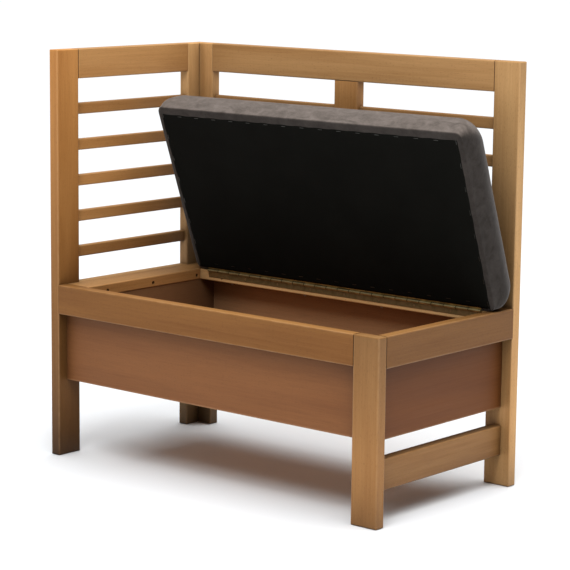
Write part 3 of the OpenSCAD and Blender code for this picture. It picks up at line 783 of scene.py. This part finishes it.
def even_out(obj, move, free):
    """Averages the move with its neighbours' a few times, so that no crease follows the grid's lines."""
    a, b = np.array([e.vertices[:] for e in obj.data.edges]).T
    count = np.bincount(a, minlength=len(move)) + np.bincount(b, minlength=len(move))
    for _ in range(EVEN_ROUNDS):
        near = np.bincount(a, move[b], len(move)) + np.bincount(b, move[a], len(move))
        move = (EVEN_KEEP * move + (1 - EVEN_KEEP) * near / count) * free
    return move


def swell(obj, held):
    """Fills the cover outwards. The foam lets no point in, and none further out than the cap."""
    start = np.array([v.co for v in obj.data.vertices], float)
    group = obj.vertex_groups.new(name="held")
    for i, weight in enumerate(held):
        if weight > 0:
            group.add([i], float(weight), "REPLACE")
    end = run_cloth(obj)
    normals = np.array([v.normal for v in obj.data.vertices], float)
    far = np.maximum(((end - start) * normals).sum(axis=1), 0)
    from_hinge = np.clip((start[:, 1].max() - start[:, 1]) / HINGE_END, 0, 1)
    cap = SWELL_CAP_HINGE + (SWELL_CAP - SWELL_CAP_HINGE) * from_hinge
    limited = even_out(obj, cap * np.tanh(far / cap), 1 - np.array(held))
    obj.data.vertices.foreach_set("co", (start + normals * limited[:, None]).astype(np.float32).ravel())
    obj.data.update()


def stand_open(obj, w0):
    """Takes the closed cushion to the open lid, with slight ripples over the stuffing."""
    for v in obj.data.vertices:
        x, y, w = v.co
        high = smooth((w - w0 - BOARD_HEIGHT) / RIPPLE_RISE)
        ripple = noise.noise(Vector((x * 9 + 3, y * 12, w * 20))) * 1.1 * MM
        ripple += noise.noise(Vector((x * 30, y * 34 + 7, w * 40))) * 0.35 * MM
        v.co = from_closed(x, -y, w + ripple * high)
    obj.data.update()


def subdivide(obj):
    sub = obj.modifiers.new("smooth", "SUBSURF")
    sub.levels = sub.render_levels = 1
    bpy.context.view_layer.objects.active = obj
    with bpy.context.temp_override(object=obj, active_object=obj, selected_objects=[obj]):
        bpy.ops.object.modifier_apply(modifier="smooth")
    shade_smooth(obj)


def make_cushion(fabric):
    """The upholstered seat, which stands for the foam and its cover."""
    points, faces, box = cushion_block()
    w0 = box[4]
    crowned = crown(points, box)
    cushion = mesh_object("lid_cushion", crowned, faces)
    swell(cushion, [1.0 if w < w0 + BOARD_HEIGHT else 0.0 for _, _, w in crowned])
    stand_open(cushion, w0)
    subdivide(cushion)
    cushion.data.materials.append(fabric)
    cushion.vertex_groups.clear()
    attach(cushion, "lid")
    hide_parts("lid_cover", "lid_foam")


# ---------------------------------------------------------------- dust cover

CLOTH_T = 0.4 * MM
CLOTH_GAP = 0.1 * MM
SAG = 1.6 * MM
SAG_REACH = 60 * MM
# Close to the staples' own spacing, but not in step with them at the far ends of a row
SCALLOP_STEP = 50 * MM
SCALLOP = 1.1 * MM
SCALLOP_REACH = 9 * MM
CLOTH_CELLS = (168, 78)


def dust_cover_point(x, u, side, box):
    """A point of the cloth's upper (0) or lower (1) side. Three edges are drawn in a little in even steps."""
    (x0, x1), (u0, u1), (_, w1) = box
    edge = min(x - x0, x1 - x, u1 - u)
    scallop = SCALLOP * math.exp(-edge / SCALLOP_REACH)
    pull_x = math.sin(math.pi * ((x - x0) / SCALLOP_STEP % 1)) ** 2
    pull_u = math.sin(math.pi * ((u - u0) / SCALLOP_STEP % 1)) ** 2
    if x1 - x < SCALLOP_REACH:
        x -= scallop * pull_u
    elif x - x0 < SCALLOP_REACH:
        x += scallop * pull_u
    if u1 - u < SCALLOP_REACH:
        u -= scallop * pull_x
    slack = smooth(min(x - x0, x1 - x) / SAG_REACH) * smooth(min(u - u0, u1 - u) / SAG_REACH)
    wave = 0.5 + 0.5 * noise.noise(Vector((x * 7, u * 9, 4.0)))
    return from_closed(x, u, w1 - CLOTH_GAP - CLOTH_T * side - SAG * slack * wave)


def dust_cover_faces():
    """Both sides of the cloth and the rim between them."""
    nx, nu = CLOTH_CELLS
    step = nu + 1
    back = (nx + 1) * step
    faces = []
    for i in range(nx):
        for j in range(nu):
            a = i * step + j
            faces.append([a, a + step, a + step + 1, a + 1])
            faces.append([back + a, back + a + 1, back + a + step + 1, back + a + step])
    rim = [i * step for i in range(nx + 1)] + [nx * step + j for j in range(1, nu + 1)]
    rim += [i * step + nu for i in range(nx - 1, -1, -1)] + [j for j in range(nu - 1, 0, -1)]
    for a, b in zip(rim, rim[1:] + rim[:1]):
        faces.append([a, back + a, back + b, b])
    return faces


def face_outwards(obj):
    bm = bmesh.new()
    bm.from_mesh(obj.data)
    bmesh.ops.recalc_face_normals(bm, faces=bm.faces)
    bm.to_mesh(obj.data)
    bm.free()


def make_dust_cover(cloth):
    """The black cloth under the lid, stretched with a slight sag and a scalloped edge."""
    box = closed_box("lid_dust_cover")
    (x0, x1), (u0, u1), _ = box
    nx, nu = CLOTH_CELLS
    points = [dust_cover_point(x0 + (x1 - x0) * (i / nx), u0 + (u1 - u0) * (j / nu), side, box)
              for side in (0, 1) for i in range(nx + 1) for j in range(nu + 1)]
    cover = mesh_object("lid_dust_cloth", points, dust_cover_faces())
    face_outwards(cover)
    cover.data.materials.append(cloth)
    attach(cover, "lid")
    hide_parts("lid_dust_cover")


# ---------------------------------------------------------------- build

bpy.context.scene.view_settings.view_transform = "Standard"
make_camera()
make_world()
make_overhead()
make_key()
make_floor()
dress_wood()
dress_metal()
make_cushion(fabric_material())
make_dust_cover(black_cloth_material())

bpy.context.view_layer.update()
